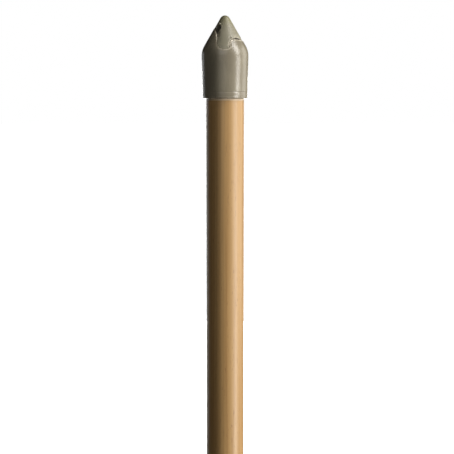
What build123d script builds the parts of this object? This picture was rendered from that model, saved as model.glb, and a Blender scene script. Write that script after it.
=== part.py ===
from build123d import *
import os
from math import radians, sin, tan

os.makedirs("parts", exist_ok=True)

# Garden dibber: a straight beech shaft with a moulded two-layer point pushed on one end.
# The origin is the middle of the shaft's flat butt end. +Z runs along the axis to the tip,
# and -Y is the front, where the long tongue of the nose shows. Sizes are in millimetres.

# The whole tool
overall_length = 400.0
shaft_diameter = 25.0
butt_round = 3.0

# The point's outside
rim_wall = 2.44
shoulder_flare = 0.75
cone_half_angle = 30.0
tip_radius = 3.5
shoulder_blend = 14.0
rim_round = 1.2
ring_height = 4.0
ring_groove_radius = 0.3

# The point's two layers
shell_thickness = 1.6
lip_stand = 0.2
nose_foot_height = 2.9

# The fit of the shaft in the point
socket_depth = 28.6
tenon_undercut = 0.3
tenon_chamfer = 1.5
fit_clearance = 0.06
seat_gap = 0.1
socket_lead_in = 0.5

# The washer between the shaft's end grain and the nose
washer_side_clearance = 0.26
washer_hole_diameter = 8.4
washer_thickness = 2.0
boss_clearance = 0.1
boss_height = 1.5

# The mouth of the outer shell is a wavy edge round the cone. Each pair is the azimuth in
# degrees, with 0 at the front and 90 on the right, and the depth as a share of the cone's
# height, counted down from the tip.
lip_right = (90.0, 0.71)
lip_left = (-90.0, 0.38)
lip_front = [
    (-62.0, 0.42),
    (-44.0, 0.49),
    (-34.0, 0.57),
    (-29.0, 0.66),
    (-25.0, 0.76),
    (-20.0, 0.87),
    (-12.0, 0.95),
    (-4.0, 0.97),
    (4.0, 0.96),
    (10.0, 0.89),
    (14.0, 0.79),
    (22.0, 0.71),
    (36.0, 0.66),
    (52.0, 0.67),
]
lip_back = [
    (-118.0, 0.56),
    (-150.0, 0.84),
    (-178.0, 0.92),
    (153.0, 0.80),
    (120.0, 0.74),
]

# Radii that follow from the shaft outwards
cone_slope = tan(radians(cone_half_angle))
cone_sine = sin(radians(cone_half_angle))
shaft_radius = shaft_diameter / 2
tenon_radius = shaft_radius - tenon_undercut
socket_radius = tenon_radius + fit_clearance
rim_radius = socket_radius + rim_wall
shoulder_radius = rim_radius + shoulder_flare
washer_radius = socket_radius - washer_side_clearance
clear_of_point = 2 * shoulder_radius

# Heights that follow from the tip downwards
nose_apex_z = overall_length + tip_radius * (1 / cone_sine - 1)
shell_apex_z = nose_apex_z + lip_stand / cone_sine
core_apex_z = shell_apex_z - shell_thickness / cone_sine
shoulder_z = shell_apex_z - shoulder_radius / cone_slope
core_meets_socket_z = core_apex_z - socket_radius / cone_slope
cone_height = overall_length - shoulder_z
nose_base_z = core_meets_socket_z - nose_foot_height
washer_z = nose_base_z - washer_thickness
shaft_top_z = washer_z - seat_gap
rim_z = shaft_top_z - socket_depth
tenon_z = rim_z - tenon_undercut


def lip_point(azimuth, share):
    """Place a point of the lip in the front view, as X and Z, on the outer cone."""
    z = overall_length - share * cone_height
    x = (shell_apex_z - z) * cone_slope * sin(radians(azimuth))
    return (x, z)


def mouth_outline(lip):
    """Outline of all that lies above the lip in the front view."""
    left = lip_point(*lip_left)
    right = lip_point(*lip_right)
    far_left = (-clear_of_point, left[1])
    far_right = (clear_of_point, right[1])
    top_z = overall_length + clear_of_point
    with BuildSketch(Plane.XZ, mode=Mode.PRIVATE) as outline:
        with BuildLine():
            Line(far_left, left)
            Spline(left, *[lip_point(*p) for p in lip], right)
            Line(right, far_right)
            Polyline(far_right, (clear_of_point, top_z), (-clear_of_point, top_z), far_left)
        make_face()
    return outline.sketch


# Shaft: a beech dowel with a rounded butt. Its top end is turned down a little to a tenon
# that the point's socket seats on, and chamfered so that it starts easily.
with BuildPart() as shaft:
    with BuildSketch(Plane.XZ):
        with BuildLine():
            Polyline(
                (0, 0),
                (shaft_radius, 0),
                (shaft_radius, tenon_z),
                (tenon_radius, rim_z),
                (tenon_radius, shaft_top_z),
                (0, shaft_top_z),
                close=True,
            )
        make_face()
    revolve(axis=Axis.Z)
    fillet(shaft.edges().group_by(Axis.Z)[0], butt_round)
    chamfer(shaft.edges().group_by(Axis.Z)[-1], tenon_chamfer)
shaft.part.label = "shaft"
export_step(shaft.part, "parts/shaft.step")


# Point sleeve: the outer moulded layer. Its long socket grips the tenon, its outside
# widens a little from the rim to the shoulder, and its conical shell ends in the wavy lip.
with BuildPart() as point_sleeve:
    with BuildSketch(Plane.XZ):
        with BuildLine():
            Polyline(
                (socket_radius, rim_z),
                (rim_radius, rim_z),
                (shoulder_radius, shoulder_z),
                (0, shell_apex_z),
                (0, core_apex_z),
                (socket_radius, core_meets_socket_z),
                close=True,
            )
        make_face()
    revolve(axis=Axis.Z)
    shoulder_edge = point_sleeve.edges().filter_by(
        lambda e: e.geom_type == GeomType.CIRCLE and abs(e.center().Z - shoulder_z) < 0.001
    )
    fillet(shoulder_edge, shoulder_blend)
    rim_edges = point_sleeve.edges().group_by(Axis.Z)[0].sort_by(SortBy.RADIUS)
    fillet(rim_edges[-1], rim_round)
    chamfer(rim_edges[0], socket_lead_in)
    # The ring line is a fine round groove in the tapered wall.
    wall_taper = (shoulder_radius - rim_radius) / (shoulder_z - rim_z)
    with BuildSketch(Plane.XZ):
        with Locations((rim_radius + wall_taper * ring_height, rim_z + ring_height)):
            Circle(ring_groove_radius)
    revolve(axis=Axis.Z, mode=Mode.SUBTRACT)
    # The mouth is open above the lip, at the front and at the back.
    extrude(mouth_outline(lip_front), amount=clear_of_point, mode=Mode.SUBTRACT)
    extrude(mouth_outline(lip_back), amount=-clear_of_point, mode=Mode.SUBTRACT)
point_sleeve.part.label = "point_sleeve"
export_step(point_sleeve.part, "parts/point_sleeve.step")


# Space that the sleeve's shell takes round the core of the nose. It isn't a piece.
with BuildPart() as shell_space:
    with BuildSketch(Plane.XZ):
        with BuildLine():
            Polyline(
                (socket_radius, nose_base_z - clear_of_point),
                (clear_of_point, nose_base_z - clear_of_point),
                (clear_of_point, core_apex_z),
                (0, core_apex_z),
                (socket_radius, core_meets_socket_z),
                close=True,
            )
        make_face()
    revolve(axis=Axis.Z)
    extrude(mouth_outline(lip_front), amount=clear_of_point, mode=Mode.SUBTRACT)
    extrude(mouth_outline(lip_back), amount=-clear_of_point, mode=Mode.SUBTRACT)


# Point nose: the inner, harder layer. It is a solid rounded cone whose core fills the
# shell, and it stands out through the mouth to nearly the shell's own surface.
with BuildPart() as point_nose:
    nose_foot_radius = (nose_apex_z - nose_base_z) * cone_slope
    tangent_x = tip_radius * (1 - cone_sine**2) ** 0.5
    tangent_z = overall_length - tip_radius * (1 - cone_sine)
    boss_radius = washer_hole_diameter / 2 - boss_clearance
    boss_z = nose_base_z - boss_height
    # A short boss under the nose keeps the washer in the middle.
    with BuildSketch(Plane.XZ):
        with BuildLine():
            boss = Polyline((0, boss_z), (boss_radius, boss_z), (boss_radius, nose_base_z))
            Line(boss @ 1, (nose_foot_radius, nose_base_z))
            flank = Line((nose_foot_radius, nose_base_z), (tangent_x, tangent_z))
            TangentArc(flank @ 1, (0, overall_length), tangent=flank % 1)
            Line((0, overall_length), (0, boss_z))
        make_face()
    revolve(axis=Axis.Z)
    add(shell_space.part, mode=Mode.SUBTRACT)
point_nose.part.label = "point_nose"
export_step(point_nose.part, "parts/point_nose.step")


# Thrust washer: a plain steel washer under the nose. It spreads the push of the wooden
# end so that the end grain doesn't punch into the moulding.
with BuildPart() as thrust_washer:
    with BuildSketch(Plane.XY.offset(washer_z)):
        Circle(washer_radius)
        Circle(washer_hole_diameter / 2, mode=Mode.SUBTRACT)
    extrude(amount=washer_thickness)
thrust_washer.part.label = "thrust_washer"
export_step(thrust_washer.part, "parts/thrust_washer.step")
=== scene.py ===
import math

import bpy
import numpy as np
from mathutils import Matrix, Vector


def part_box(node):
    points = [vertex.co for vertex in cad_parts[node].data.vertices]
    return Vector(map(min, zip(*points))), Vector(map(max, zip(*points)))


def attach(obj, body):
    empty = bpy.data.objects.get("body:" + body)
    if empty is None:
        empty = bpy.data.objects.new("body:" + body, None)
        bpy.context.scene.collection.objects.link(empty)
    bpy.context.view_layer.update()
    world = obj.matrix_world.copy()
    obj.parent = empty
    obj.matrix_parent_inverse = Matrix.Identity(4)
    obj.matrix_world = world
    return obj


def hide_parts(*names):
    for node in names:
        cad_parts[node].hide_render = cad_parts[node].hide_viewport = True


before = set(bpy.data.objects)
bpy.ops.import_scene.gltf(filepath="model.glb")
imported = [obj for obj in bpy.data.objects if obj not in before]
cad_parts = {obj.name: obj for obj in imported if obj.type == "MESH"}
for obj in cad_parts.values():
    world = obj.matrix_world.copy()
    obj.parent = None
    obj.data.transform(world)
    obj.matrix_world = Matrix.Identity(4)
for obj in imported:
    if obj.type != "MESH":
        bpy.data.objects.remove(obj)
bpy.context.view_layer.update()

# Shaft. A straight beech dowel, turned, sanded and oiled to a satin finish. Its butt is
# rounded over, and its top end is turned down a little to a tenon that the point pushes
# on to. Just under the point's rim a pale band is painted on, painted light that lifts the
# shadow the rim casts on the wood.
MM = 0.001


class Value:
    """One socket of a finish. Arithmetic on it adds Math nodes to the finish."""

    def __init__(self, finish, socket):
        self.finish = finish
        self.socket = socket

    def math(self, operation, *terms):
        return self.finish.node("Math", {"operation": operation}, dict(enumerate(terms)))

    def __add__(self, other):
        return self.math("ADD", self, other)

    def __sub__(self, other):
        return self.math("SUBTRACT", self, other)

    def __rsub__(self, other):
        return self.math("SUBTRACT", other, self)

    def __mul__(self, other):
        return self.math("MULTIPLY", self, other)

    __radd__ = __add__
    __rmul__ = __mul__

    def step(self, low, high):
        """Go smoothly from 0 at low to 1 at high."""
        settings = {"interpolation_type": "SMOOTHSTEP"}
        return self.finish.node("MapRange", settings, {0: self, 1: low, 2: high, 3: 0.0, 4: 1.0})


class Finish:
    """One material, built node by node."""

    def __init__(self, name):
        self.material = bpy.data.materials.new(name)
        self.material.use_nodes = True
        self.tree = self.material.node_tree
        self.tree.nodes.clear()
        self.place = self.node("TexCoord", {}, {}, "Object")

    def node(self, kind, settings, inputs, output=0):
        """Add a node, set it up, then fill its sockets with values or links."""
        made = self.tree.nodes.new("ShaderNode" + kind)
        for name, setting in settings.items():
            setattr(made, name, setting)
        for name, value in inputs.items():
            if isinstance(value, Value):
                self.tree.links.new(value.socket, made.inputs[name])
            elif isinstance(value, tuple) and made.inputs[name].type == "RGBA":
                made.inputs[name].default_value = (*value, 1.0)
            else:
                made.inputs[name].default_value = value
        return Value(self, made.outputs[output]) if made.outputs else None

    def stretched(self, across, along):
        """Object position scaled so that one unit is a grain this many metres in size."""
        scale = (1 / across, 1 / across, 1 / along)
        return self.node("VectorMath", {"operation": "MULTIPLY"}, {0: self.place, 1: scale})

    def noise(self, across, along, detail=2.0, roughness=0.5, distortion=0.0):
        """Noise whose grain is this many metres across and along the tool."""
        sockets = {
            "Vector": self.stretched(across, along),
            "Scale": 1.0,
            "Detail": detail,
            "Roughness": roughness,
            "Distortion": distortion,
        }
        return self.node("TexNoise", {}, sockets)

    def blend(self, first, second, factor):
        """Go from the first colour at factor 0 to the second at 1."""
        settings = {"data_type": "RGBA", "clamp_factor": True}
        return self.node("Mix", settings, {0: factor, 6: first, 7: second}, 2)

    def tint(self, colour, factor):
        """Multiply a colour by a grey value."""
        grey = self.node("CombineColor", {}, {0: factor, 1: factor, 2: factor})
        settings = {"data_type": "RGBA", "blend_type": "MULTIPLY"}
        return self.node("Mix", settings, {0: 1.0, 6: colour, 7: grey}, 2)

    def surface(self, colour, roughness, height, depth, **constants):
        """Close the material with its shader, bumped by a height of this depth in metres."""
        bump = self.node("Bump", {}, {"Height": height, "Distance": depth, "Strength": 1.0})
        inputs = {"Base Color": colour, "Roughness": roughness, "Normal": bump}
        for name, value in constants.items():
            inputs[name.replace("_", " ")] = value
        shader = self.node("BsdfPrincipled", {}, inputs)
        self.node("OutputMaterial", {}, {"Surface": shader})
        return self.material


def eased(corners, arc_steps):
    """Turn corners (radius, height, rounding) into a profile with rounded corners, each
    in steps of about a quarter of a millimetre, and at most this many."""
    step_length = 0.25 * MM
    profile = [np.array(corners[0][:2])]
    for before, corner, after in zip(corners, corners[1:], corners[2:]):
        here = np.array(corner[:2])
        back = np.array(before[:2]) - here
        on = np.array(after[:2]) - here
        back /= np.linalg.norm(back)
        on /= np.linalg.norm(on)
        if not corner[2]:
            profile.append(here)
            continue
        half_angle = math.acos(np.clip(back @ on, -1, 1)) / 2
        reach = corner[2] / math.tan(half_angle)
        middle = here + (back + on) / np.linalg.norm(back + on) * corner[2] / math.sin(half_angle)
        start = here + back * reach - middle
        end = here + on * reach - middle
        turn = math.atan2(start[0] * end[1] - start[1] * end[0], start @ end)
        steps = min(arc_steps, 3 + int(abs(turn) * corner[2] / step_length))
        for t in np.linspace(0, turn, steps + 1):
            c, s = math.cos(t), math.sin(t)
            profile.append(middle + (start[0] * c - start[1] * s, start[0] * s + start[1] * c))
    profile.append(np.array(corners[-1][:2]))
    return np.array(profile)


def refined(profile, longest):
    """Split the straight stretches of a profile so that no step is longer than this."""
    points = [profile[0]]
    for a, b in zip(profile, profile[1:]):
        steps = max(1, math.ceil(np.linalg.norm(b - a) / longest - 1e-9))
        points += [a + (b - a) * (i + 1) / steps for i in range(steps)]
    return np.array(points)


def ring_grid(radius, height, columns):
    """Spin radii and heights, one per row or one per row and column, into a grid."""
    turn = np.arange(columns) * 2 * math.pi / columns
    radius = np.broadcast_to(np.reshape(radius, (len(radius), -1)), (len(radius), columns))
    height = np.broadcast_to(np.reshape(height, (len(height), -1)), radius.shape)
    return np.stack([radius * np.sin(turn), -radius * np.cos(turn), height], axis=-1)


def made_piece(name, points, faces, material, body, slot, node, **marks):
    """Make a smooth closed piece that rides on its body in place of its CAD node.
    Marks are values from 0 to 1 at its points, which its material reads by name."""
    mesh = bpy.data.meshes.new(name)
    mesh.from_pydata(points.tolist(), [], faces)
    for mark, values in marks.items():
        mesh.attributes.new(mark, "FLOAT", "POINT").data.foreach_set("value", values.ravel())
    mesh.validate()
    mesh.update()
    mesh.shade_smooth()
    mesh.materials.append(material)
    piece = bpy.data.objects.new(name, mesh)
    bpy.context.scene.collection.objects.link(piece)
    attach(piece, body)
    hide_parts(node)
    return piece


def turned_piece(name, profile, columns, material, body, slot, node):
    """Turn a profile that starts and ends on the axis into a closed piece."""
    grid = ring_grid(profile[1:-1, 0], profile[1:-1, 1], columns)
    rows = len(grid)
    ends = [[0, 0, profile[0, 1]], [0, 0, profile[-1, 1]]]
    points = np.concatenate([grid.reshape(-1, 3), ends])
    faces = []
    for i in range(columns):
        j = (i + 1) % columns
        faces.append((rows * columns, j, i))
        faces.append((rows * columns + 1, (rows - 1) * columns + i, (rows - 1) * columns + j))
        for row in range(rows - 1):
            low = row * columns
            faces.append((low + i, low + j, low + columns + j, low + columns + i))
    return made_piece(name, points, faces, material, body, slot, node)


low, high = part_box("shaft")
shaft_radius = (high[0] - low[0]) / 2
rim_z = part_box("point_sleeve")[0][2]


def beech():
    """Oiled beech: growth rings round a pith outside the dowel, short brown flecks, and a
    pale band painted under the point's rim, painted light that lifts the rim's shadow and
    fades out over the tenon."""
    wood = Finish("oiled_beech")
    figure = wood.noise(16 * MM, 300 * MM, 3.0, 0.55, 0.3)
    bands = wood.noise(2.6 * MM, 160 * MM, 2.0, 0.5, 0.2)
    fibres = wood.noise(0.35 * MM, 24 * MM, 3.0, 0.6)
    flecks = wood.noise(0.42 * MM, 5.0 * MM, 1.0, 0.5)
    patches = wood.noise(9 * MM, 40 * MM, 2.0, 0.5)
    light = (0.505, 0.314, 0.128)
    dark = (0.36, 0.2, 0.069)
    fleck_brown = (0.19, 0.088, 0.027)
    shadow_lift_pale = (0.80, 0.66, 0.47)
    pith = (-26 * MM, 15 * MM, 0)
    ring_width = 2.1 * MM
    ring_sway = 7 * MM
    level = wood.node("VectorMath", {"operation": "MULTIPLY"}, {0: wood.place, 1: (1, 1, 0)})
    from_pith = wood.node("VectorMath", {"operation": "DISTANCE"}, {0: level, 1: pith}, "Value")
    season = (from_pith + (figure + bands * 0.3) * ring_sway) * (1 / ring_width)
    season = season.math("FRACT", season)
    late_wood = season.step(0.35, 0.9) * (1 - season.step(0.93, 1.0))
    tone = figure.step(0.3, 0.7) * 0.3 + bands.step(0.32, 0.68) * 0.25 + late_wood * 0.28
    tone = tone + fibres.step(0.3, 0.7) * 0.2
    colour = wood.blend(light, dark, tone)
    fleck = flecks.step(0.64, 0.72) * patches.step(0.42, 0.58)
    colour = wood.blend(colour, fleck_brown, fleck * 0.5)
    height_up = wood.node("SeparateXYZ", {}, {"Vector": wood.place}, "Z")
    # Painted light: a pale band under the rim that lifts the shadow the rim casts on the wood.
    rim_shadow_lift = height_up.step(rim_z - 1.7 * MM, rim_z - 0.5 * MM) * (0.5 + bands * 0.6)
    rim_shadow_lift = rim_shadow_lift * (1 - height_up.step(rim_z + 0.2 * MM, rim_z + 2 * MM) * 0.75)
    colour = wood.blend(colour, shadow_lift_pale, rim_shadow_lift)
    roughness = 0.40 + fibres * 0.12 + fleck * 0.1
    height = fibres * 0.6 + late_wood * 0.4 - fleck * 0.5
    return wood.surface(colour, roughness, height, 0.03 * MM, Coat_Weight=0.5, Coat_Roughness=0.35)


tenon_undercut = 0.3 * MM
tenon_chamfer = 1.5 * MM
tenon_radius = shaft_radius - tenon_undercut
step_rounding = 0.1 * MM
butt_rounding = 3.0 * MM
shaft_profile = eased(
    [
        (0, low[2], 0),
        (shaft_radius, low[2], butt_rounding),
        (shaft_radius, rim_z - 0.02 * MM, step_rounding),
        (tenon_radius, rim_z + 0.2 * MM, step_rounding),
        (tenon_radius, high[2] - tenon_chamfer, 0.4 * MM),
        (tenon_radius - tenon_chamfer, high[2], 0.3 * MM),
        (0, high[2], 0),
    ],
    12,
)
longest_step = 4 * MM
shaft_profile = refined(shaft_profile, longest_step)
turned_piece("beech_shaft", shaft_profile, 192, beech(), "handle", "shaft_wood", "shaft")

# Thrust washer. A zinc-plated steel washer that sits on the nose's boss inside the socket
# and spreads the push of the shaft's end grain. It is punched, so its edges are a little
# rounded.


def plated_steel():
    """Zinc plating, bright and dull in patches, with fine scuffs."""
    steel = Finish("zinc_plated_steel")
    scuffs = steel.noise(0.5 * MM, 0.5 * MM, 3.0, 0.6)
    bloom = steel.noise(4 * MM, 4 * MM, 2.0, 0.5)
    bright = (0.62, 0.62, 0.60)
    dull = (0.44, 0.45, 0.46)
    colour = steel.blend(bright, dull, bloom.step(0.35, 0.65))
    roughness = 0.28 + scuffs * 0.2
    return steel.surface(colour, roughness, scuffs, 0.01 * MM, Metallic=1.0)


def closed_ring(name, profile, columns, material, body, slot, node):
    """Spin a closed profile that stays off the axis into a ring."""
    grid = ring_grid(profile[:, 0], profile[:, 1], columns)
    rows = len(grid)
    faces = []
    for row in range(rows):
        a = row * columns
        b = (row + 1) % rows * columns
        for i in range(columns):
            j = (i + 1) % columns
            faces.append((a + i, a + j, b + j, b + i))
    return made_piece(name, grid.reshape(-1, 3), faces, material, body, slot, node)


low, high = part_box("thrust_washer")
washer_radius = (high[0] - low[0]) / 2
hole_radius = 4.2 * MM
edge = 0.2 * MM
middle = (hole_radius + washer_radius) / 2
washer_profile = eased(
    [
        (middle, low[2], 0),
        (washer_radius, low[2], edge),
        (washer_radius, high[2], edge),
        (hole_radius, high[2], edge),
        (hole_radius, low[2], edge),
        (middle, low[2], 0),
    ],
    4,
)
washer_profile = washer_profile[:-1]
closed_ring(
    "plated_washer", washer_profile, 96, plated_steel(), "point", "washer_steel", "thrust_washer"
)

# Point. Its outer layer is a taupe plastic sleeve with a tapered wall, fine ring lines
# above the rim and a rounded shoulder; its inner layer is a solid nose of the same
# plastic, a little harder. The sleeve is moulded round the nose, and they meet at a seam.
# The cone's grid has this many columns, and rows at most a seam step apart. A crevice's
# wall falls this many times as deep as it is wide.
SEAM_COLUMNS = 400
SEAM_STEP = 0.22 * MM
CREVICE_WALL = 4.0
nose_low, nose_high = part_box("point_nose")
cone_angle = math.radians(30)
tip_z = nose_high[2]
tip_radius = 3.5 * MM
boss_height = 1.5 * MM
nose_foot_z = nose_low[2] + boss_height
fit_clearance = 0.06 * MM
rim_wall = 2.44 * MM
wall_flare = 0.75 * MM
socket_radius = tenon_radius + fit_clearance
rim_radius = socket_radius + rim_wall
shoulder_radius = rim_radius + wall_flare
shoulder_blend = 14 * MM
socket_lead_in = 0.5 * MM
rim_rounding = 0.9 * MM
lip_stand = 0.2 * MM
shell_thickness = 1.6 * MM
tip_rise = tip_radius * (1 / math.sin(cone_angle) - 1)
shell_apex_z = tip_z + tip_rise + lip_stand / math.sin(cone_angle)
shoulder_z = shell_apex_z - shoulder_radius / math.tan(cone_angle)
cone_height = tip_z - shoulder_z

# The seam round the cone. Each row is the azimuth in degrees, 0 at the front and 90 on the
# right, the depth below the tip as a share of the cone's height, how wide the crevice is
# and how far the nose's edge lies below the skin there, both in millimetres, and then how
# much painted shade darkens the crevice and how much pale colour, partly wear and partly
# painted highlight, lightens its lip, both from 0 to 1.
seam_points = [
    (-90, 0.37, 0.10, 0.0, 0.4, 0.1),
    (-76, 0.36, 0.15, 0.1, 0.6, 0.1),
    (-60, 0.42, 0.35, 0.6, 0.9, 0.1),
    (-45, 0.48, 0.45, 0.9, 0.9, 0.3),
    (-37, 0.53, 0.40, 0.7, 0.7, 1.0),
    (-31, 0.61, 0.30, 0.4, 0.4, 0.9),
    (-27, 0.72, 0.06, 0.1, 0.1, 0.0),
    (-23, 0.82, 0.02, 0.0, 0.0, 0.0),
    (-18, 0.91, 0.03, 0.1, 0.0, 0.1),
    (-11, 0.96, 0.06, 0.3, 0.1, 0.4),
    (-3, 0.98, 0.10, 0.35, 0.2, 0.5),
    (6, 0.975, 0.10, 0.35, 0.2, 0.5),
    (12, 0.94, 0.05, 0.1, 0.0, 0.7),
    (10, 0.86, 0.02, 0.0, 0.0, 1.0),
    (14, 0.78, 0.06, 0.0, 0.0, 1.0),
    (22, 0.715, 0.25, 0.1, 0.2, 1.0),
    (30, 0.69, 0.45, 0.2, 0.4, 1.0),
    (37, 0.69, 1.20, 0.4, 1.0, 1.0),
    (46, 0.695, 1.60, 0.5, 1.0, 1.0),
    (58, 0.70, 1.30, 0.4, 1.0, 0.9),
    (74, 0.715, 0.80, 0.3, 0.9, 0.6),
    (94, 0.71, 0.30, 0.15, 0.5, 0.4),
    (120, 0.74, 0.25, 0.15, 0.4, 0.4),
    (153, 0.80, 0.30, 0.2, 0.5, 0.4),
    (182, 0.92, 0.30, 0.3, 0.6, 0.4),
    (210, 0.84, 0.25, 0.2, 0.5, 0.4),
    (242, 0.56, 0.35, 0.4, 0.7, 0.3),
]


def seam_curve(steps):
    """Run a smooth closed curve through the seam's rows."""
    points = np.array(seam_points, dtype=float)
    turn = np.array([360.0, 0.0, 0.0, 0.0, 0.0, 0.0])
    points = np.concatenate([points[-2:] - turn, points, points[:3] + turn])
    curve = []
    for a, b, c, d in zip(points[1:], points[2:], points[3:], points[4:]):
        for t in np.arange(steps) / steps:
            sway = (2 * a - 5 * b + 4 * c - d) * t**2 + (3 * b - a - 3 * c + d) * t**3
            curve.append(b + ((c - a) * t + sway) / 2)
    return np.array(curve)


def on_cone(azimuth, share):
    """Place an azimuth in degrees and a share of the cone's height on the cone."""
    z = tip_z - share * cone_height
    radius = (shell_apex_z - z) * math.tan(cone_angle)
    turn = np.radians(azimuth)
    return np.stack([radius * np.sin(turn), -radius * np.cos(turn), z], axis=-1)


def by_the_seam(grid):
    """Each grid point's distance to the seam, above 0 on the sleeve's side, and the
    crevice's width, drop, painted shade and lip marks of wear and painted highlight where
    the seam is nearest."""
    azimuth = np.degrees(np.arctan2(grid[..., 0], -grid[..., 1])).ravel()
    share = (tip_z - grid[..., 2]).ravel() / cone_height
    flat = on_cone(azimuth, share)
    curve = seam_curve(12)
    curve = np.concatenate([curve, curve[:1] + (360, 0, 0, 0, 0, 0)])
    line = on_cone(curve[:, 0], curve[:, 1])
    nearest = np.full(len(flat), np.inf)
    crevice = np.zeros((len(flat), 4))
    above = np.zeros(len(flat), dtype=bool)
    for start, end, a, b in zip(curve, curve[1:], line, line[1:]):
        along = np.clip((flat - a) @ (b - a) / ((b - a) @ (b - a)), 0, 1)
        gap = np.linalg.norm(flat - a - along[:, None] * (b - a), axis=1)
        closer = gap < nearest
        nearest[closer] = gap[closer]
        crevice[closer] = start[2:] + along[closer, None] * (end - start)[2:]
        for lap in (-360, 0):
            spans = (start[0] + lap > azimuth) != (end[0] + lap > azimuth)
            rise = (azimuth[spans] - start[0] - lap) / (end[0] - start[0])
            above[spans] ^= start[1] + rise * (end[1] - start[1]) > share[spans]
    signed = np.where(above, -nearest, nearest).reshape(grid.shape[:-1])
    width, drop, soil, rub = crevice.reshape(*grid.shape[:-1], 4).transpose(2, 0, 1)
    return signed, width * MM, drop * MM, soil, rub


def rounded_edge(inside, rounding):
    """How deep an edge falls away, this far inside it, and steeply down outside it."""
    short = np.clip(rounding - inside, 0, rounding)
    return rounding - np.sqrt(rounding**2 - short**2) + np.maximum(-inside, 0) * CREVICE_WALL


def eased_step(distance, start, end):
    """Go smoothly from 0 at start to 1 at end."""
    t = np.clip((distance - start) / (end - start), 0, 1)
    return t * t * (3 - 2 * t)


def outward(profile):
    """Unit normals of a profile that runs up the outside of a turned piece."""
    along = np.gradient(profile, axis=0)
    along /= np.linalg.norm(along, axis=1)[:, None]
    return np.stack([along[:, 1], -along[:, 0]], axis=-1)


def sunk(profile, depth):
    """Spin a profile into a grid, each point sunk this deep below its surface."""
    sunken = profile[:, None] - outward(profile)[:, None] * depth[..., None]
    return ring_grid(sunken[..., 0], sunken[..., 1], depth.shape[1])


# Skin: the outside of the whole point from the rim to the tip, which both layers follow.
lead_in = (socket_radius, rim_z + socket_lead_in)
wall_lean = (shoulder_radius - rim_radius) / (shoulder_z - rim_z)
skin = eased(
    [
        (*lead_in, 0),
        (socket_radius + socket_lead_in, rim_z, 0.15 * MM),
        (rim_radius, rim_z, rim_rounding),
        (shoulder_radius, shoulder_z, shoulder_blend),
        (0, shell_apex_z, tip_radius + lip_stand),
        (-shoulder_radius, shoulder_z, 0),
    ],
    24,
)
skin = skin[skin[:, 0] > 0.01 * MM]
longest_wall_step = 1.5 * MM
wall_skin = refined(skin[skin[:, 1] < nose_foot_z], longest_wall_step)
cone_skin = refined(skin[skin[:, 1] >= nose_foot_z], SEAM_STEP)

# Ring lines above the rim, in a band of close rows that takes the place of the wall's own
# rows there. Each drops in sharply at its top and rises slowly below, and all are deepest
# at the right, round the deepest azimuth in degrees. A line's numbers are its height over
# the rim, its depth and how far below it rises.
RING_LINES = [
    (4.45 * MM, 0.34 * MM, 1.1 * MM),
    (2.6 * MM, 0.10 * MM, 0.5 * MM),
    (1.6 * MM, 0.22 * MM, 0.6 * MM),
]
ring_row_step = 0.12 * MM
ring_drop = 0.15 * MM
deepest_azimuth = 39
deep_spread = 24
ring_band_height = 5.2 * MM
ring_rows = np.arange(rim_z + rim_rounding, rim_z + ring_band_height, ring_row_step)
first_ringed = np.argmax(wall_skin[:, 1] > ring_rows[0])
wall_outside = wall_skin[first_ringed:]
wall_outside = wall_outside[wall_outside[:, 1] > ring_rows[-1]]
ring_band = np.stack([rim_radius + wall_lean * (ring_rows - rim_z), ring_rows], axis=-1)
wall_skin = np.concatenate([wall_skin[:first_ringed], ring_band, wall_outside])
turn_round = np.arange(SEAM_COLUMNS) * 360 / SEAM_COLUMNS
fullness = 0.14 + 0.86 * np.exp(-(((turn_round - deepest_azimuth) / deep_spread) ** 2))
ring_depth = np.zeros(len(wall_skin))
for height, depth, rise in RING_LINES:
    off = wall_skin[:, 1] - rim_z - height
    notch = np.clip(1 - np.maximum(off / ring_drop, -off / rise), 0, 1)
    ring_depth = np.maximum(ring_depth, depth * notch)
ring_depth[:first_ringed] = 0
wall_radius = wall_skin[:, :1] - ring_depth[:, None] * fullness
wall_grid = ring_grid(wall_radius, wall_skin[:, 1], SEAM_COLUMNS)

# Depth of the core under the skin: the shell's thickness, or more where the socket starts.
core_depth = np.maximum(
    shell_thickness, (cone_skin[:, 0] - socket_radius) / outward(cone_skin)[:, 0]
)[:, None]
plain = np.zeros((len(cone_skin), SEAM_COLUMNS))
from_seam, crevice_width, nose_drop, seam_soil, seam_rub = by_the_seam(sunk(cone_skin, plain))


def quads(rows, columns):
    """Faces of a grid that closes round the piece, as rows x columns x 4 indices."""
    low = np.arange(rows - 1)[:, None] * columns
    left = np.arange(columns)
    right = (left + 1) % columns
    return np.stack([low + left, low + right, low + columns + right, low + columns + left], axis=-1)


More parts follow.
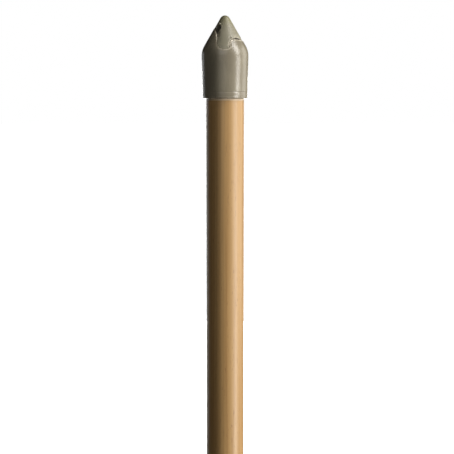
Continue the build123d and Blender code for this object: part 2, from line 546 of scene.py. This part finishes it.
def moulded_plastic(name, light, dark, sheen):
    """Satin taupe plastic: a fine moulded grain, faint flow marks and handling rubs, an
    olive stain at the tip, painted shade in the seam's crevice and the hollows, and pale
    marks along its lip and burrs that are partly wear and partly painted highlight."""
    plastic = Finish(name)
    olive = (0.205, 0.195, 0.085)
    scuff_and_highlight_pale = (0.78, 0.71, 0.57)
    soil_black = (0.022, 0.017, 0.011)
    cloud = plastic.noise(7 * MM, 12 * MM, 3.0, 0.55)
    grain = plastic.noise(0.28 * MM, 0.28 * MM, 2.0, 0.6)
    rubs = plastic.noise(0.5 * MM, 9 * MM, 3.0, 0.6, 0.4)
    patches = plastic.noise(0.9 * MM, 0.9 * MM, 2.0, 0.6)
    soil = plastic.node("Attribute", {"attribute_name": "soil"}, {}, "Fac")
    scuff_and_highlight = plastic.node("Attribute", {"attribute_name": "rub"}, {}, "Fac") * patches.step(0.3, 0.6)
    colour = plastic.blend(light, dark, cloud.step(0.3, 0.7) * 0.6 + grain * 0.25)
    colour = plastic.tint(colour, 0.94 + rubs * 0.12)
    height_up = plastic.node("SeparateXYZ", {}, {"Vector": plastic.place}, "Z")
    stain = height_up.step(tip_z - 9 * MM, tip_z - 1 * MM) * (0.35 + cloud * 0.5)
    colour = plastic.blend(colour, olive, stain)
    # Pale marks on the lip's lit edges and on the burrs, partly wear and partly painted highlight.
    colour = plastic.blend(colour, scuff_and_highlight_pale, scuff_and_highlight)
    # Painted shade: the crevice and the hollows are darkened towards black.
    colour = plastic.blend(colour, soil_black, soil)
    roughness = sheen + grain * 0.08 + cloud * 0.06 - rubs.step(0.55, 0.75) * 0.04
    roughness = roughness + soil * 0.4 + scuff_and_highlight * 0.2
    height = grain + rubs * 0.5 + scuff_and_highlight * patches
    return plastic.surface(colour, roughness, height, 0.02 * MM, IOR=1.6)


# Nose. A solid cone of taupe plastic with a tongue down its front and a boss under its flat
# foot that holds the washer. Under the sleeve it is cut back to the core. Use has left a
# scooped hollow with a burr over it on the left, and a small dent on the right.
boss_radius = 4.1 * MM
foot_setback = 0.3 * MM
drop_reach = 2.6 * MM
rub_reach = 0.5 * MM

# Marks on the cone. Each row starts with the mark's middle, as an azimuth in degrees and a
# share of the cone's height, and its reach across in degrees and down as a share. Then
# come a hollow's depth and how much painted shade darkens it, or a burr's height.
HOLLOWS = [(-44, 0.37, 20, 0.10, 1.1 * MM, 0.75), (19, 0.655, 5, 0.03, 0.3 * MM, 0.35)]
NOSE_BURRS = [(-37, 0.25, 9, 0.038, 0.55 * MM)]


def spot(azimuth, share, wide, tall):
    """How far each point of the cone is from a spot's middle, 1 at the spot's edge."""
    columns = np.arange(SEAM_COLUMNS) * 360 / SEAM_COLUMNS
    across = ((columns - azimuth + 180) % 360 - 180) / wide
    down = ((tip_z - cone_skin[:, 1]) / cone_height - share) / tall
    return np.hypot(across[None], down[:, None])


# The nose's edge in the crevice: how deep it is at each point, how much painted shade
# darkens it, and how much pale wear and painted highlight lighten it.
into_mouth = -from_seam - crevice_width
nose_rounding = np.clip(0.15 * MM + crevice_width, 0.2 * MM, 0.4 * MM)
nose_depth = nose_drop * eased_step(into_mouth, drop_reach, 0)
# Painted shade darkens the nose's wall down in the crevice.
nose_soil = seam_soil * eased_step(into_mouth, 0.35 * MM, -0.1 * MM)
# Pale wear and painted highlight lighten the nose's edge along the lip.
nose_rub = 0.5 * seam_rub * np.exp(-((into_mouth / rub_reach) ** 2))
# Each hollow is sunk into the nose and darkened with painted shade, and loses its lip marks.
for *where, depth, soil in HOLLOWS:
    hollow = eased_step(spot(*where), 1.15, 0.75)
    nose_depth = np.maximum(nose_depth, depth * hollow)
    nose_soil = np.maximum(nose_soil, soil * hollow)
    nose_rub = nose_rub * (1 - hollow)
# Each burr stands up from the nose and is lightened, partly wear and partly a painted glint.
for *where, height in NOSE_BURRS:
    burr = eased_step(spot(*where), 1, 0)
    nose_depth = nose_depth - height * burr
    nose_rub = np.maximum(nose_rub, burr)
nose_depth = lip_stand + nose_depth + rounded_edge(into_mouth, nose_rounding)
nose_depth = np.minimum(nose_depth, core_depth)
nose_grid = sunk(cone_skin, nose_depth)
foot = eased(
    [
        (0, nose_low[2], 0),
        (boss_radius, nose_low[2], 0.3 * MM),
        (boss_radius, nose_foot_z, 0.2 * MM),
        (socket_radius - foot_setback, nose_foot_z, 0),
    ],
    4,
)[1:]
nose_grid = np.concatenate([ring_grid(foot[:, 0], foot[:, 1], SEAM_COLUMNS), nose_grid])
unmarked_foot = np.zeros((len(foot), SEAM_COLUMNS))
points = nose_grid.reshape(-1, 3)
faces = quads(len(nose_grid), SEAM_COLUMNS).reshape(-1, 4).tolist()
faces.append(list(range(SEAM_COLUMNS))[::-1])
faces.append(list(range(len(points) - SEAM_COLUMNS, len(points))))
nose_light = (0.285, 0.266, 0.195)
nose_dark = (0.225, 0.209, 0.15)
nose_plastic = moulded_plastic("taupe_nose", nose_light, nose_dark, 0.38)
made_piece(
    "moulded_nose",
    points,
    faces,
    nose_plastic,
    "point",
    "point_nose",
    "point_nose",
    soil=np.concatenate([unmarked_foot, nose_soil]),
    rub=np.concatenate([unmarked_foot, nose_rub]),
)

# Sleeve. The taupe outer layer, moulded over the nose. Its outside follows the skin to the
# rounded lip and turns in over the nose; its inside is the plain socket and, above it, the
# bed of the nose's core. One burr stands on the lip at the right.
LIP_BURRS = [(31, 0.715, 6, 0.035, 0.4 * MM)]
closed_width = 0.15 * MM
run_out_reach = 1.2 * MM
rub_middle = 0.45 * MM
lip_overhang = 0.3 * MM
lip_rounding = np.clip(0.1 * MM + crevice_width, 0.15 * MM, 0.5 * MM)
# Where the crevice is nearly closed, the lip thins out until it is almost flush.
run_out = np.clip(1 - crevice_width / closed_width, 0, 1)
run_out = run_out * eased_step(from_seam, run_out_reach, 0)
sleeve_depth = rounded_edge(from_seam, lip_rounding) + run_out * 0.8 * lip_stand
# Painted shade darkens the lip's edge down in the crevice.
sleeve_soil = seam_soil * eased_step(from_seam, 0.2 * MM, -0.1 * MM)
# Pale wear and painted highlight lighten the top of the lip.
sleeve_rub = seam_rub * np.exp(-(((from_seam - rub_middle) / rub_middle) ** 2))
# The burr stands up from the lip and is lightened, partly wear and partly a painted glint.
for *where, height in LIP_BURRS:
    burr = eased_step(spot(*where), 1, 0)
    sleeve_depth = sleeve_depth - height * burr
    sleeve_rub = np.maximum(sleeve_rub, burr)
sleeve_depth = np.minimum(sleeve_depth, core_depth - 0.05 * MM)
outside = np.concatenate([wall_grid, sunk(cone_skin, sleeve_depth)])
bed = sunk(cone_skin, plain + core_depth)
socket_heights = np.linspace(lead_in[1], bed[0, 0, 2], 10)[1:-1]
socket_radii = np.full(len(socket_heights), socket_radius)
inside = np.concatenate([ring_grid(socket_radii, socket_heights, SEAM_COLUMNS), bed])
points = np.concatenate([outside.reshape(-1, 3), inside.reshape(-1, 3)])
inside_start = outside.shape[0] * SEAM_COLUMNS
outer = quads(len(outside), SEAM_COLUMNS)
inner = quads(len(inside), SEAM_COLUMNS) + inside_start
left = np.arange(SEAM_COLUMNS)
right = (left + 1) % SEAM_COLUMNS
lowest = np.stack([left, right, inside_start + right, inside_start + left], axis=-1)
covered = from_seam > -lip_overhang
covered = covered & np.roll(covered, -1, 1)
kept = covered[:-1] & covered[1:]
outer_wall = len(outside) - len(cone_skin)
inner_wall = len(inside) - len(cone_skin)
outer_kept = np.concatenate([np.ones((outer_wall, SEAM_COLUMNS), bool), kept])
inner_kept = np.concatenate([np.ones((inner_wall, SEAM_COLUMNS), bool), kept])
faces = outer[outer_kept].tolist() + inner[inner_kept][:, ::-1].tolist()
faces += lowest[:, ::-1].tolist()
# The lip's cut edge is closed by a strip between the outside and the bed.
shift = inside_start + (inner_wall - outer_wall) * SEAM_COLUMNS
edges = {}
for face in outer[outer_wall:][kept].tolist():
    for a, b in zip(face, face[1:] + face[:1]):
        edges[(a, b)] = True
bottom = (outer_wall + 1) * SEAM_COLUMNS
for a, b in edges:
    if (b, a) not in edges and max(a, b) >= bottom:
        faces.append([b, a, a + shift, b + shift])
# Points under the mouth that no face uses are left out.
used = np.unique(np.concatenate([np.ravel(face) for face in faces]))
renumber = np.full(len(points), -1)
renumber[used] = np.arange(len(used))
faces = [[int(renumber[v]) for v in face] for face in faces]
sleeve_light = (0.268, 0.241, 0.176)
sleeve_dark = (0.205, 0.18, 0.133)
sleeve_plastic = moulded_plastic("taupe_sleeve", sleeve_light, sleeve_dark, 0.19)
unmarked_wall = np.zeros((outer_wall, SEAM_COLUMNS))
unmarked_inside = np.zeros(inside.shape[:2])
made_piece(
    "moulded_sleeve",
    points[used],
    faces,
    sleeve_plastic,
    "point",
    "point_shell",
    "point_sleeve",
    soil=np.concatenate([unmarked_wall, sleeve_soil, unmarked_inside]).ravel()[used],
    rub=np.concatenate([unmarked_wall, sleeve_rub, unmarked_inside]).ravel()[used],
)

# Studio. A plain white floor and backdrop that take no shadow, two long soft lights on the
# right for the wall and the cone, one beyond each far edge, a large one behind, a fill from
# the front and a low one that lifts the shade under the rim.
WARM = (1.0, 0.97, 0.93)
SOFT = (1.0, 0.98, 0.95)
COOL = (0.95, 0.98, 1.0)


def softbox(name, azimuth, elevation, distance, width, height, watts, colour, aim):
    """Hang a rectangular light round the tool, facing a point on its axis."""
    lamp = bpy.data.lights.new(name, "AREA")
    lamp.shape = "RECTANGLE"
    lamp.size = width
    lamp.size_y = height
    lamp.energy = watts
    lamp.color = colour
    hung = bpy.data.objects.new(name, lamp)
    bpy.context.scene.collection.objects.link(hung)
    turn = math.radians(azimuth)
    rise = math.radians(elevation)
    level = math.cos(rise)
    away = Vector((math.sin(turn) * level, -math.cos(turn) * level, math.sin(rise)))
    hung.visible_camera = False
    hung.location = Vector(aim) + away * distance
    hung.rotation_euler = away.to_track_quat("Z", "Y").to_euler()


middle_z = tip_z * 0.7
softbox("key_right", 68, 0, 0.8, 0.25, 0.77, 5.5, WARM, (0, 0, 0.03))
softbox("key_high", 65, 33, 0.9, 0.37, 0.80, 9.2, WARM, (0, 0, shoulder_z))
softbox("edge_right", 112, 8, 0.9, 0.5, 0.9, 2.6, SOFT, (0, 0, middle_z))
softbox("edge_left", -140, 0, 0.9, 0.3, 0.7, 0.7, COOL, (0, 0, 0.15))
softbox("back_soft", 182, 0, 1.0, 0.6, 0.6, 7.0, SOFT, (0, 0, 0.1))
softbox("fill_front", -12, 25, 1.2, 0.8, 0.8, 2.5, SOFT, (0, 0, middle_z))
softbox("bounce_low", 50, -72, 1.1, 0.6, 0.6, 2.8, SOFT, (0, 0, rim_z))

floor_mesh = bpy.data.meshes.new("studio_floor")
reach = 30.0
floor_corners = [(-reach, -reach, 0), (reach, -reach, 0), (reach, reach, 0), (-reach, reach, 0)]
floor_mesh.from_pydata(floor_corners, [], [(0, 1, 2, 3)])
floor = bpy.data.objects.new("studio_floor", floor_mesh)
bpy.context.scene.collection.objects.link(floor)
white = Finish("white_floor")
paper_inputs = {
    "Base Color": (0.9, 0.9, 0.9),
    "Roughness": 0.9,
    "Emission Color": (1.0, 1.0, 1.0),
    "Emission Strength": 1.1,
}
paper = white.node("BsdfPrincipled", {}, paper_inputs)
white.node("OutputMaterial", {}, {"Surface": paper})
floor_mesh.materials.append(white.material)
floor.visible_diffuse = False
floor.visible_glossy = False
floor.visible_shadow = False

backdrop = bpy.data.worlds.new("studio_white")
backdrop.use_nodes = True
background = backdrop.node_tree.nodes["Background"]
background.inputs["Color"].default_value = (1.0, 1.0, 1.0, 1.0)
background.inputs["Strength"].default_value = 1.0
bpy.context.scene.world = backdrop
backdrop.cycles_visibility.diffuse = False
backdrop.cycles_visibility.glossy = False
bpy.context.scene.view_settings.view_transform = "Standard"

# Camera. A long lens about level with the point, a little to the right of the tool's axis,
# that looks slightly down.
lens = bpy.data.cameras.new("camera")
lens.lens = 85
lens.sensor_width = 36
camera = bpy.data.objects.new("camera", lens)
bpy.context.scene.collection.objects.link(camera)
camera.location = (1.3 * MM, -712.0 * MM, 336.9 * MM)
look_down = 6.10
camera.rotation_euler = (math.radians(90 - look_down), 0, 0)
bpy.context.scene.camera = camera
